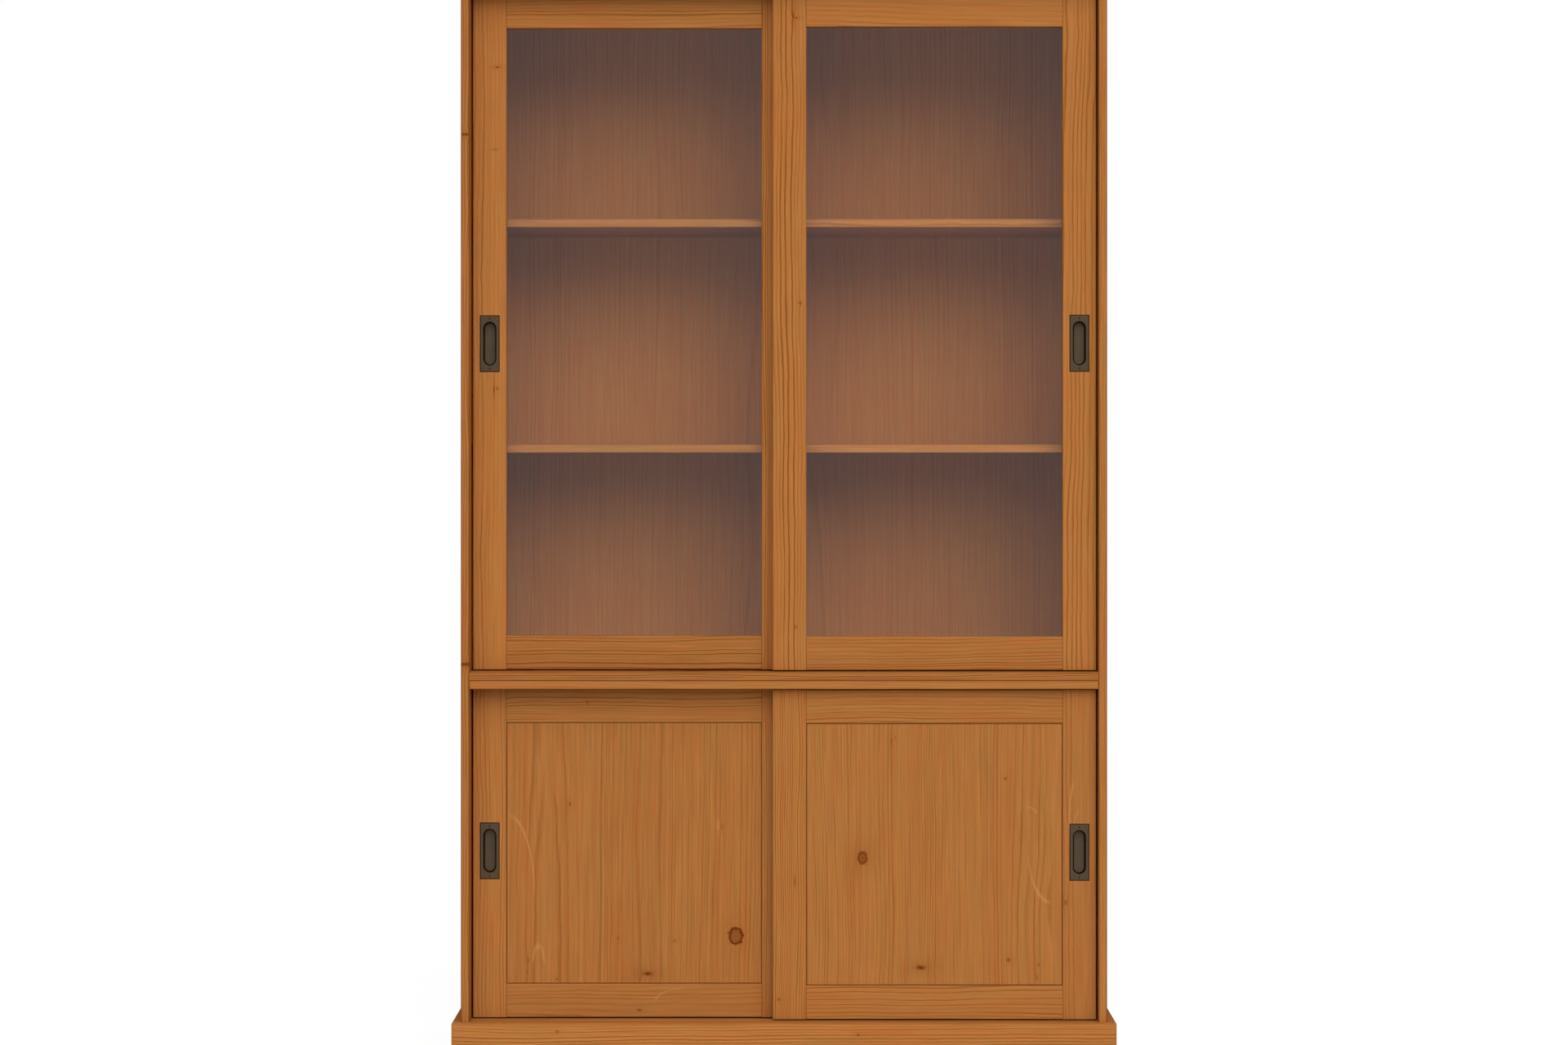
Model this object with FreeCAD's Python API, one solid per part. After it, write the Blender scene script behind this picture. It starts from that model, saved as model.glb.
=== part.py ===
import FreeCAD, Part
import os
from FreeCAD import Vector

# Tall pine bookcase: two glazed sliding doors above two panelled sliding doors.
# Millimetres.  X runs along the front, Y runs from the front (-Y) to the back,
# Z runs up from the floor.  The origin is on the floor, in the middle of the
# footprint.  Everything stands where it is with all four doors closed.

# ---- Carcass -------------------------------------------------------------
carcass_width = 1200.0        # over the side panels
carcass_depth = 380.0         # front edge to rear edge of the side panels
board_thickness = 16.0        # sides, bottom, middle, dividers and shelves
plinth_height = 70.0          # floor to the top of the bottom board
plinth_thickness = 16.0       # plinth boards, planted on the outside
top_thickness = 16.0          # top board
top_overhang = 16.0           # top board past the front and past each side
lower_clear_height = 618.0    # bottom board to the guide board above it
upper_clear_height = 1265.0   # middle board to the guide board above it
housing_depth = 4.0           # boards let into their neighbours
housing_stop = 12.0           # plain front edge that hides each housing
arris = 1.2                   # bevel of the boards' visible long edges
top_rounding = 4.0            # rounding of the top board's upper edges

# ---- Back panel ----------------------------------------------------------
back_thickness = 4.0
back_inset = 4.0              # back panel in from the rear edges
back_lap = 8.0                # width of the rebate that it lies in

# ---- Shelves and their battens -------------------------------------------
upper_shelf_pitch = 423.0     # middle board to shelf, and shelf to shelf
upper_shelf_count = 2
lower_shelf_rise = 318.0      # bottom board to the top of the lower shelf
shelf_end_gap = 1.0
shelf_rear_gap = 4.0
batten_width = 12.0           # out from the side or the divider
batten_height = 15.0
batten_chamfer = 3.0          # along the lower free edge
batten_setback = 12.0         # in from the shelf's front and rear edges

# ---- Sliding doors -------------------------------------------------------
door_thickness = 20.0
door_setback = 17.0           # carcass front to the front doors' faces
door_pass_gap = 5.0           # air between front and rear doors
door_side_gap = 3.0           # closed door to the side panel
door_overlap = 42.0           # shared width of the two doors when closed
door_bottom_gap = 2.7         # running board to the door's lower edge
door_top_gap = 2.0            # door's upper edge to the guide board
member_width = 62.5           # stiles and rails
member_groove_depth = 9.0
shoulder_chamfer = 0.8        # rails' ends, a fine V against the stiles
tenon_clearance = 0.1         # each cheek of a rail's stub tenon
tenon_end_gap = 0.5
fittings_gap = 8.0            # rear doors to shelves and dividers
guide_board_rear_gap = 4.0    # guide board behind the rear doors' backs

glass_thickness = 4.0
glass_clearance = 0.2         # each face of the glass in its groove
panel_thickness = 16.0
panel_tongue = 6.0
panel_tongue_clearance = 0.1
panel_field_gap = 0.8         # shadow line round the panel's field
pane_edge_gap = 1.0           # side and top edges of a pane in the groove

# ---- Running gear --------------------------------------------------------
wheel_radius = 12.0
wheel_side_play = 0.2
wheel_running_gap = 0.3       # wheel to the floor of its track
axle_radius = 2.0
axle_clearance = 0.05         # radial, wheel on axle
cheek_thickness = 1.2
cheek_gap = 7.0
bracket_length = 30.0
bracket_corner = 8.0          # clipped off each cheek's upper corners
bracket_headroom = 1.5        # wheel to the bridge of its bracket
face_plate_length = 62.0
face_plate_width = 12.0
face_plate_thickness = 1.5
face_plate_corner = 2.5
mortise_clearance = 0.2
mortise_spare_depth = 1.2
running_inset = 100.0         # wheels and guides in from each door edge
track_width = 8.0
track_depth = 1.6             # less than the top gap, so a door lifts out
guide_groove_depth = 10.0
guide_fin_length = 20.0
guide_fin_width = 6.0
guide_reach = 9.0             # fin above the door's upper edge
guide_fin_corner = 1.5        # clipped off the fin's upright edges
guide_tip_chamfer = 1.0
guide_collar_length = 28.0
guide_collar_width = 12.0
guide_collar_thickness = 1.2
guide_collar_corner = 2.5
guide_plug_length = 16.0      # along the rail
guide_plug_width = 6.0
guide_plug_depth = 14.0

# ---- Flush pulls ---------------------------------------------------------
pull_width = 36.0
pull_height = 105.0
pull_plate = 2.0
pull_let_in = 1.6             # depth of the plate's seat in the stile
pull_seat_gap = 0.4           # round the plate in its seat
pull_corner = 1.5
pull_pocket_width = 24.0
pull_pocket_height = 82.0
pull_pocket_depth = 12.5      # stile's face to the pocket's floor
pull_wall = 1.0
pull_fit = 0.3                # round the cup in the stile
upper_pull_height = 611.0     # running board to the middle of the pull
lower_pull_height = 313.5

# ---- Places worked out from the sizes above -------------------------------
overall_depth = carcass_depth + plinth_thickness
front_y = plinth_thickness - overall_depth / 2
rear_y = front_y + carcass_depth
back_face_y = rear_y - back_inset - back_thickness
outer_x = carcass_width / 2
inner_x = outer_x - board_thickness
inner_width = 2 * inner_x

bottom_top_z = plinth_height
lower_guide_z = bottom_top_z + lower_clear_height
mid_under_z = lower_guide_z + board_thickness
mid_top_z = mid_under_z + board_thickness
upper_guide_z = mid_top_z + upper_clear_height
top_under_z = upper_guide_z + board_thickness

door_width = (inner_width - 2 * door_side_gap + door_overlap) / 2
door_travel = inner_width - 2 * door_side_gap - door_width
lower_door_height = lower_clear_height - door_bottom_gap - door_top_gap
upper_door_height = upper_clear_height - door_bottom_gap - door_top_gap
front_door_y = front_y + door_setback
rear_door_y = front_door_y + door_thickness + door_pass_gap
fittings_y = rear_door_y + door_thickness + fittings_gap
shelf_rear_y = back_face_y - shelf_rear_gap
guide_board_rear_y = rear_door_y + door_thickness + guide_board_rear_gap
pull_proud = pull_plate - pull_let_in

wheel_drop = door_bottom_gap + track_depth - wheel_running_gap
wheel_centre_rise = wheel_radius - wheel_drop
bracket_inner_height = wheel_centre_rise + wheel_radius + bracket_headroom
bracket_height = bracket_inner_height + cheek_thickness


# ---- Shapes that several pieces share --------------------------------------
def block(x0, x1, y0, y1, z0, z1):
    """A rectangular block between two corners."""
    return Part.makeBox(x1 - x0, y1 - y0, z1 - z0, Vector(x0, y0, z0))


def rounded(shape, radius, wanted):
    """The shape with those edges rounded that wanted(edge) picks."""
    return shape.makeFillet(radius, [edge for edge in shape.Edges if wanted(edge)])


def chamfered(shape, size, wanted):
    """The shape with those edges bevelled flat that wanted(edge) picks."""
    return shape.makeChamfer(size, [edge for edge in shape.Edges if wanted(edge)])


def runs_along(edge, axis):
    """True if the edge is straight and parallel to axis (0, 1 or 2)."""
    if len(edge.Vertexes) != 2:
        return False
    step = edge.Vertexes[1].Point - edge.Vertexes[0].Point
    return abs(abs(step[axis]) - step.Length) < 1e-6 < step.Length


def lies_at(edge, axis, value):
    """True if the middle of the edge is at that coordinate."""
    return abs(edge.CenterOfMass[axis] - value) < 1e-6


def round_ended(length, width, low_z, high_z):
    """A bar along X between two heights, with half a cylinder on each end."""
    radius = width / 2
    straight = length / 2 - radius
    outline = Part.Wire([
        Part.Arc(Vector(straight, -radius, low_z), Vector(straight + radius, 0, low_z),
                 Vector(straight, radius, low_z)).toShape(),
        Part.makeLine(Vector(straight, radius, low_z), Vector(-straight, radius, low_z)),
        Part.Arc(Vector(-straight, radius, low_z), Vector(-straight - radius, 0, low_z),
                 Vector(-straight, -radius, low_z)).toShape(),
        Part.makeLine(Vector(-straight, -radius, low_z), Vector(straight, -radius, low_z)),
    ])
    return Part.Face(outline).extrude(Vector(0, 0, high_z - low_z))


def clipped_plate(length, width, corner, height):
    """A plate on the plane Z = 0 with its four upright edges clipped."""
    plate = block(-length / 2, length / 2, -width / 2, width / 2, 0, height)
    return chamfered(plate, corner, lambda e: runs_along(e, 2))


def upright(shape):
    """Turns a piece drawn lying in XY so that its +Z faces the front (-Y)."""
    turned = shape.copy()
    turned.rotate(Vector(0, 0, 0), Vector(1, 0, 0), 90)
    return turned


def placed(shape, x, y, z):
    """A copy of the shape, moved."""
    moved = shape.copy()
    moved.translate(Vector(x, y, z))
    return moved


def fused(pieces):
    """One solid out of pieces that touch or overlap."""
    return pieces[0].multiFuse(pieces[1:]).removeSplitter()


# ---- Where the shelves and the tracks are -----------------------------------
def upper_shelf_tops():
    """Heights of the upper shelves' top faces."""
    return [mid_top_z + upper_shelf_pitch * (n + 1) for n in range(upper_shelf_count)]


def lower_shelf_top():
    """Height of the lower shelf's top face."""
    return bottom_top_z + lower_shelf_rise


def shelf_tops():
    """Heights of all shelves, from the bottom up."""
    return [lower_shelf_top()] + upper_shelf_tops()


def track_centres_y():
    """Middle of the front doors' and of the rear doors' thickness."""
    return (front_door_y + door_thickness / 2, rear_door_y + door_thickness / 2)


# ---- Carcass --------------------------------------------------------------
def side_panel(side):
    """An outer side: housings for two boards and a rear rebate."""
    face = side * inner_x
    outside = side * outer_x
    low_x, high_x = sorted((face, outside))
    panel = block(low_x, high_x, front_y, rear_y, 0, top_under_z + housing_depth)
    panel = chamfered(panel, arris, lambda e: runs_along(e, 2) and lies_at(e, 1, front_y))

    housing_x = sorted((face, face + side * housing_depth))
    lap_x = sorted((face, face + side * back_lap))
    cuts = [block(*lap_x, back_face_y, rear_y, 0, top_under_z + housing_depth)]
    for under in (bottom_top_z - board_thickness, mid_under_z):
        cuts.append(block(*housing_x, front_y + housing_stop, rear_y,
                          under, under + board_thickness))
    return panel.cut(cuts)


def running_board(under_z):
    """A board between the sides with the two shallow wheel tracks in it."""
    half = inner_x + housing_depth
    top_z = under_z + board_thickness
    board = block(-half, half, front_y, back_face_y, under_z, top_z)
    cuts = []
    for side in (-1, 1):
        corner = sorted((side * inner_x, side * half))
        cuts.append(block(*corner, front_y, front_y + housing_stop, under_z, top_z))
    for y in track_centres_y():
        cuts.append(block(-inner_x, inner_x, y - track_width / 2, y + track_width / 2,
                          top_z - track_depth, top_z))
    return board.cut(cuts)


def divider_housing(low_z, high_z):
    """The shallow trench that an end of a divider stands in."""
    half = board_thickness / 2
    return block(-half, half, fittings_y, back_face_y, low_z, high_z)


def bottom_board():
    """Carries the lower doors' wheels and the foot of the lower divider."""
    board = running_board(bottom_top_z - board_thickness)
    return board.cut(divider_housing(bottom_top_z - housing_depth, bottom_top_z))


def mid_board():
    """Carries the upper doors' wheels, with a divider above and below."""
    board = running_board(mid_under_z)
    board = chamfered(board, arris, lambda e: runs_along(e, 0) and lies_at(e, 1, front_y))
    return board.cut([
        divider_housing(mid_top_z - housing_depth, mid_top_z),
        divider_housing(mid_under_z, mid_under_z + housing_depth),
    ])


def guide_board(under_z):
    """Front strip under a board, with the two grooves for the door guides."""
    strip = block(-inner_x, inner_x, front_y, guide_board_rear_y,
                  under_z, under_z + board_thickness)
    strip = chamfered(strip, arris, lambda e: runs_along(e, 0) and lies_at(e, 2, under_z)
                      and lies_at(e, 1, front_y))
    cuts = [block(-inner_x, inner_x, y - track_width / 2, y + track_width / 2,
                  under_z, under_z + guide_groove_depth) for y in track_centres_y()]
    return strip.cut(cuts)


def top_board():
    """Caps the sides and oversails them at the front and the ends."""
    half = outer_x + top_overhang
    lip_y = front_y - top_overhang
    top_z = top_under_z + top_thickness
    board = block(-half, half, lip_y, rear_y, top_under_z, top_z)
    board = rounded(board, top_rounding,
                    lambda e: lies_at(e, 2, top_z) and not lies_at(e, 1, rear_y))
    board = chamfered(board, arris,
                      lambda e: lies_at(e, 2, top_under_z) and not lies_at(e, 1, rear_y))
    cuts = [divider_housing(top_under_z, top_under_z + housing_depth)]
    for side in (-1, 1):
        seat = sorted((side * inner_x, side * outer_x))
        cuts.append(block(*seat, front_y, rear_y, top_under_z, top_under_z + housing_depth))
    lap = inner_x + back_lap
    cuts.append(block(-lap, lap, back_face_y, rear_y, top_under_z, top_under_z + back_lap))
    return board.cut(cuts)


def divider(foot_z, head_z):
    """Upright between the left and right shelves, let in at both ends."""
    half = board_thickness / 2
    wall = block(-half, half, fittings_y, back_face_y,
                 foot_z - housing_depth, head_z + housing_depth)
    return chamfered(wall, arris, lambda e: runs_along(e, 2) and lies_at(e, 1, fittings_y))


def shelf(side, top_z):
    """A loose shelf on the left (-1) or the right (+1), lying on two battens."""
    near = board_thickness / 2 + shelf_end_gap
    far = inner_x - shelf_end_gap
    low_x, high_x = sorted((side * near, side * far))
    board = block(low_x, high_x, fittings_y, shelf_rear_y, top_z - board_thickness, top_z)
    return chamfered(board, arris, lambda e: runs_along(e, 0) and lies_at(e, 1, fittings_y))


def back_panel():
    """Thin sheet lying in the rebates behind all the boards."""
    half = inner_x + back_lap
    return block(-half, half, back_face_y, back_face_y + back_thickness,
                 bottom_top_z - board_thickness, top_under_z + back_lap)


def plinth_front():
    """Front plinth board, mitred at both ends."""
    half = outer_x + plinth_thickness
    lip_y = front_y - plinth_thickness
    outline = Part.makePolygon([
        Vector(-half, lip_y, 0), Vector(half, lip_y, 0),
        Vector(outer_x, front_y, 0), Vector(-outer_x, front_y, 0),
        Vector(-half, lip_y, 0),
    ])
    board = Part.Face(outline).extrude(Vector(0, 0, plinth_height))
    return chamfered(board, arris,
                     lambda e: lies_at(e, 2, plinth_height) and lies_at(e, 1, lip_y))


def plinth_side(side):
    """Side plinth board: mitred at the front, square at the back."""
    near = side * outer_x
    far = side * (outer_x + plinth_thickness)
    lip_y = front_y - plinth_thickness
    outline = Part.makePolygon([
        Vector(near, front_y, 0), Vector(far, lip_y, 0),
        Vector(far, rear_y, 0), Vector(near, rear_y, 0), Vector(near, front_y, 0),
    ])
    board = Part.Face(outline).extrude(Vector(0, 0, plinth_height))
    return chamfered(board, arris,
                     lambda e: lies_at(e, 2, plinth_height) and lies_at(e, 0, far))


def shelf_battens():
    """Two battens under each shelf, on a side panel and on the divider."""
    half = board_thickness / 2
    battens = []
    for top_z in shelf_tops():
        head_z = top_z - board_thickness
        foot_z = head_z - batten_height
        for face_x, direction in ((-inner_x, 1), (-half, -1), (half, 1), (inner_x, -1)):
            free_x = face_x + direction * batten_width
            low_x, high_x = sorted((face_x, free_x))
            batten = block(low_x, high_x, fittings_y + batten_setback,
                           shelf_rear_y - batten_setback, foot_z, head_z)
            battens.append(chamfered(batten, batten_chamfer,
                                     lambda e: runs_along(e, 1) and lies_at(e, 2, foot_z)
                                     and lies_at(e, 0, free_x)))
    return Part.makeCompound(battens)


def carcass():
    """Every fixed piece by name."""
    nodes = {
        "side_panel_left": side_panel(-1),
        "side_panel_right": side_panel(1),
        "bottom_board": bottom_board(),
        "mid_board": mid_board(),
        "top_board": top_board(),
        "lower_guide_board": guide_board(lower_guide_z),
        "upper_guide_board": guide_board(upper_guide_z),
        "lower_divider": divider(bottom_top_z, mid_under_z),
        "upper_divider": divider(mid_top_z, top_under_z),
        "back_panel": back_panel(),
        "plinth_front": plinth_front(),
        "plinth_left": plinth_side(-1),
        "plinth_right": plinth_side(1),
        "shelf_battens": shelf_battens(),
    }
    for name, side in (("left", -1), ("right", 1)):
        nodes["lower_shelf_" + name] = shelf(side, lower_shelf_top())
        for level, top_z in enumerate(upper_shelf_tops(), start=1):
            nodes["upper_shelf_%s_%d" % (name, level)] = shelf(side, top_z)
    return nodes


# ---- Running gear ----------------------------------------------------------
def wheel():
    """A bored wheel on the Y axis, nearly as wide as the gap between the cheeks."""
    width = cheek_gap - 2 * wheel_side_play
    foot = Vector(0, -width / 2, 0)
    across = Vector(0, 1, 0)
    tyre = Part.makeCylinder(wheel_radius, width, foot, across)
    return tyre.cut(Part.makeCylinder(axle_radius + axle_clearance, width, foot, across))


def roller_bracket():
    """Folded housing on a face plate at Z = 0, with the axle riveted flush in it."""
    half_in = cheek_gap / 2
    half_out = half_in + cheek_thickness
    half_length = bracket_length / 2
    channel = block(-half_length, half_length, -half_out, half_out, 0, bracket_height)
    channel = chamfered(channel, bracket_corner,
                        lambda e: runs_along(e, 1) and lies_at(e, 2, bracket_height))
    plate = clipped_plate(face_plate_length, face_plate_width, face_plate_corner,
                          face_plate_thickness)
    hollow = block(-half_length, half_length, -half_in, half_in, 0, bracket_inner_height)
    ends = half_length - cheek_thickness
    slot = block(-ends, ends, -half_in, half_in, 0, face_plate_thickness)
    housing = fused([channel.cut(hollow), plate]).cut(slot)
    axle = Part.makeCylinder(axle_radius, 2 * half_out,
                             Vector(0, -half_out, wheel_centre_rise), Vector(0, 1, 0))
    return fused([housing, axle])


def roller_mortise():
    """What is cut out of a bottom rail for a bracket and its wheel."""
    grow = 2 * mortise_clearance
    recess = clipped_plate(face_plate_length + grow, face_plate_width + grow,
                           face_plate_corner, face_plate_thickness)
    half_width = cheek_gap / 2 + cheek_thickness + mortise_clearance
    half_length = bracket_length / 2 + mortise_clearance
    pocket = block(-half_length, half_length, -half_width, half_width,
                   0, bracket_height + mortise_spare_depth)
    return fused([recess, pocket])


def guide_plug(depth):
    """The tongue of a guide, or the mortise for it, down from the plane Z = 0."""
    half_length = guide_plug_length / 2
    half_width = guide_plug_width / 2
    return block(-half_length, half_length, -half_width, half_width, -depth, 0)


def top_guide():
    """Plug, collar and fin: the collar lies on the plane Z = 0."""
    collar = clipped_plate(guide_collar_length, guide_collar_width, guide_collar_corner,
                           guide_collar_thickness)
    fin = clipped_plate(guide_fin_length, guide_fin_width, guide_fin_corner, guide_reach)
    fin = chamfered(fin, guide_tip_chamfer, lambda e: lies_at(e, 2, guide_reach))
    return fused([guide_plug(guide_plug_depth), collar, fin])


# ---- Flush pull -------------------------------------------------------------
# A pull is drawn lying down: +Z is the way out of the door, Z = 0 is its face.
def pull_cup(grow, mouth_z):
    """The pocket, or the cup round it, grown on every side."""
    return round_ended(pull_pocket_height + 2 * grow, pull_pocket_width + 2 * grow,
                       -pull_pocket_depth - grow, mouth_z)


def pull_plate_block(grow, top_z):
    """The plate, or the shallow seat for it, with its corners rounded."""
    half_length = pull_height / 2 + grow
    half_width = pull_width / 2 + grow
    plate = block(-half_length, half_length, -half_width, half_width, -pull_let_in, top_z)
    return rounded(plate, pull_corner, lambda e: runs_along(e, 2))


def flush_pull():
    """Plate with a round-ended finger pocket pressed into it."""
    plate = pull_plate_block(0, pull_proud)
    body = fused([plate, pull_cup(pull_wall, -pull_let_in)]).cut(pull_cup(0, pull_proud))
    body.rotate(Vector(0, 0, 0), Vector(0, 0, 1), 90)
    return upright(body)


def pull_mortise():
    """What is cut out of a stile: a shallow seat, and a deep mortise for the cup."""
    grow = pull_wall + pull_fit
    half_length = pull_pocket_height / 2 + grow
    half_width = pull_pocket_width / 2 + grow
    deep = block(-half_length, half_length, -half_width, half_width,
                 -pull_pocket_depth - grow, 0)
    hole = fused([deep, pull_plate_block(pull_seat_gap, 0)])
    hole.rotate(Vector(0, 0, 0), Vector(0, 0, 1), 90)
    return upright(hole)


# ---- Door frames and what they hold -----------------------------------------
# A door is drawn with its lower left front corner at the origin.
def stile(height, groove_width, inner_edge):
    """An upright of the frame, grooved down the edge at inner_edge."""
    wood = block(0, member_width, 0, door_thickness, 0, height)
    wood = chamfered(wood, arris, lambda e: runs_along(e, 2))
    low_x, high_x = sorted((inner_edge, abs(inner_edge - member_groove_depth)))
    middle = door_thickness / 2
    groove = block(low_x, high_x, middle - groove_width / 2, middle + groove_width / 2,
                   0, height)
    return wood.cut(groove)


def rail(groove_width, groove_on_top):
    """A cross piece between the stiles, with a stub tenon at each end."""
    length = door_width - 2 * member_width
    wood = block(0, length, 0, door_thickness, 0, member_width)
    wood = chamfered(wood, shoulder_chamfer,
                     lambda e: runs_along(e, 2))
    wood = chamfered(wood, arris, lambda e: runs_along(e, 0))
    middle = door_thickness / 2
    half = groove_width / 2
    edge = member_width if groove_on_top else 0
    low_z, high_z = sorted((edge, abs(edge - member_groove_depth)))
    wood = wood.cut(block(0, length, middle - half, middle + half, low_z, high_z))

    reach = member_groove_depth - tenon_end_gap
    cheek = half - tenon_clearance
    foot, head = sorted((member_width - edge, abs(edge - member_groove_depth)))
    tenons = [block(-reach, 0, middle - cheek, middle + cheek, foot, head),
              block(length, length + reach, middle - cheek, middle + cheek, foot, head)]
    return placed(fused([wood] + tenons), member_width, 0, 0)


def glass_pane(height):
    """Plain sheet, standing on the floor of the bottom rail's groove."""
    sill = member_width - member_groove_depth
    middle = door_thickness / 2
    half = glass_thickness / 2
    return block(sill + pane_edge_gap, door_width - sill - pane_edge_gap,
                 middle - half, middle + half, sill, height - sill - pane_edge_gap)


def wood_panel(height):
    """Thick board with a tongue all round, a little behind the frame's face."""
    sill = member_width - member_groove_depth
    middle = door_thickness / 2
    tongue = panel_tongue / 2
    skirt = block(sill + pane_edge_gap, door_width - sill - pane_edge_gap,
                  middle - tongue, middle + tongue, sill, height - sill - pane_edge_gap)
    low = member_width + panel_field_gap
    thick = panel_thickness / 2
    field = block(low, door_width - low, middle - thick, middle + thick, low, height - low)
    field = chamfered(field, arris,
                      lambda e: lies_at(e, 1, middle - thick) or lies_at(e, 1, middle + thick))
    return fused([skirt, field])


def running_places():
    """Where a door's wheels and guides stand along its width."""
    return (running_inset, door_width - running_inset)


def door(height, glazed, pull_on_left, pull_height_z):
    """All pieces of one door by name."""
    if glazed:
        groove = glass_thickness + 2 * glass_clearance
        infill_name, infill = "glass", glass_pane(height)
    else:
        groove = panel_tongue + 2 * panel_tongue_clearance
        infill_name, infill = "panel", wood_panel(height)

    left_stile = stile(height, groove, member_width)
    right_stile = placed(stile(height, groove, 0), door_width - member_width, 0, 0)
    pull_x = member_width / 2 if pull_on_left else door_width - member_width / 2
    hole = placed(pull_mortise(), pull_x, 0, pull_height_z)
    if pull_on_left:
        left_stile = left_stile.cut(hole)
    else:
        right_stile = right_stile.cut(hole)

    middle = door_thickness / 2
    bottom_rail = rail(groove, True)
    top_rail = placed(rail(groove, False), 0, 0, height - member_width)
    brackets, guides = [], []
    for x in running_places():
        bottom_rail = bottom_rail.cut(placed(roller_mortise(), x, middle, 0))
        plug_hole = guide_plug(guide_plug_depth + mortise_spare_depth)
        top_rail = top_rail.cut(placed(plug_hole, x, middle, height))
        brackets.append(placed(roller_bracket(), x, middle, 0))
        guides.append(placed(top_guide(), x, middle, height))

    pieces = {
        "left_stile": left_stile,
        "right_stile": right_stile,
        "top_rail": top_rail,
        "bottom_rail": bottom_rail,
        infill_name: infill,
        "pull": placed(flush_pull(), pull_x, 0, pull_height_z),
        "top_guides": Part.makeCompound(guides),
        "roller_brackets": Part.makeCompound(brackets),
    }
    for name, x in zip(("left_wheel", "right_wheel"), running_places()):
        pieces[name] = placed(wheel(), x, middle, wheel_centre_rise)
    return pieces


def doors():
    """The four doors: the left ones run in the rear track."""
    left_x = door_side_gap - inner_x
    right_x = inner_x - door_side_gap - door_width
    levels = (
        ("upper", mid_top_z, upper_door_height, True, upper_pull_height),
        ("lower", bottom_top_z, lower_door_height, False, lower_pull_height),
    )
    sides = (
        ("left", left_x, rear_door_y, True),
        ("right", right_x, front_door_y, False),
    )
    nodes = {}
    for level, track_z, height, glazed, pull_rise in levels:
        for side, x, y, pull_on_left in sides:
            pieces = door(height, glazed, pull_on_left, pull_rise - door_bottom_gap)
            for piece, shape in pieces.items():
                name = "%s_%s_door_%s" % (level, side, piece)
                nodes[name] = placed(shape, x, y, track_z + door_bottom_gap)
    return nodes


def main():
    """Builds every piece and writes one STEP file for each."""
    os.makedirs("parts", exist_ok=True)
    nodes = carcass()
    nodes.update(doors())
    for name, shape in nodes.items():
        shape.exportStep("parts/%s.step" % name)
    print("%d pieces, door travel %.1f mm" % (len(nodes), door_travel))


main()
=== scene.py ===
import math
from functools import reduce

import bmesh
import bpy
from bpy.props import FloatProperty, FloatVectorProperty, PointerProperty
from mathutils import Matrix, Vector


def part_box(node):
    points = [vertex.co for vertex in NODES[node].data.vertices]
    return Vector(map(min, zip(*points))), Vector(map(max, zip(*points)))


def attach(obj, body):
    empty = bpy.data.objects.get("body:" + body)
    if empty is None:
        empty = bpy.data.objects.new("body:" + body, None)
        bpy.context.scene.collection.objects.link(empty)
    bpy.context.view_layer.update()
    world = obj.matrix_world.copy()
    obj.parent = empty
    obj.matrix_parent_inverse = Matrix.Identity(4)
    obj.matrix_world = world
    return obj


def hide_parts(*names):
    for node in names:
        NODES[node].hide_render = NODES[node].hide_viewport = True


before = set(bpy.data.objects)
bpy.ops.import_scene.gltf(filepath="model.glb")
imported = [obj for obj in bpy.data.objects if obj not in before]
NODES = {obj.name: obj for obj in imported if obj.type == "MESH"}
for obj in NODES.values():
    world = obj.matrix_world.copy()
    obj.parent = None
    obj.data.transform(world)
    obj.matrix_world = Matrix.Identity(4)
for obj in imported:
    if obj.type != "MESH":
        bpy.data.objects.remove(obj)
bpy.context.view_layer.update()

bl_info = {
    "name": "Pine bookcase with sliding doors",
    "version": (1, 0, 0),
    "blender": (4, 5, 0),
    "location": "3D View > Sidebar > Bookcase",
    "description": "Stained pine, flush pulls, glass and a plain studio for the bookcase",
    "category": "Object",
}

DOORS = [level + "_" + side + "_door" for level in ("upper", "lower")
         for side in ("left", "right")]


def colour(description, default):
    """A linear colour that a user can change."""
    return FloatVectorProperty(name=description.split(",")[0], description=description,
                               subtype="COLOR", size=3, min=0, max=1, default=default)


def length(name, description, default):
    """A length in metres that a user can change."""
    return FloatProperty(name=name, description=description, default=default, min=0,
                         subtype="DISTANCE", unit="LENGTH", precision=4)


def share(name, description, default):
    """A plain number that a user can change."""
    return FloatProperty(name=name, description=description, default=default, min=0)


def angle(name, description, degrees):
    """An angle that a user can change."""
    return FloatProperty(name=name, description=description, default=math.radians(degrees),
                         subtype="ANGLE", unit="ROTATION")


def linear(red, green, blue):
    """An everyday colour, 0 to 255 a channel, as linear light."""
    return tuple((c / 12.92) if c <= 0.04045 else ((c + 0.055) / 1.055) ** 2.4
                 for c in (red / 255, green / 255, blue / 255))


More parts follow.
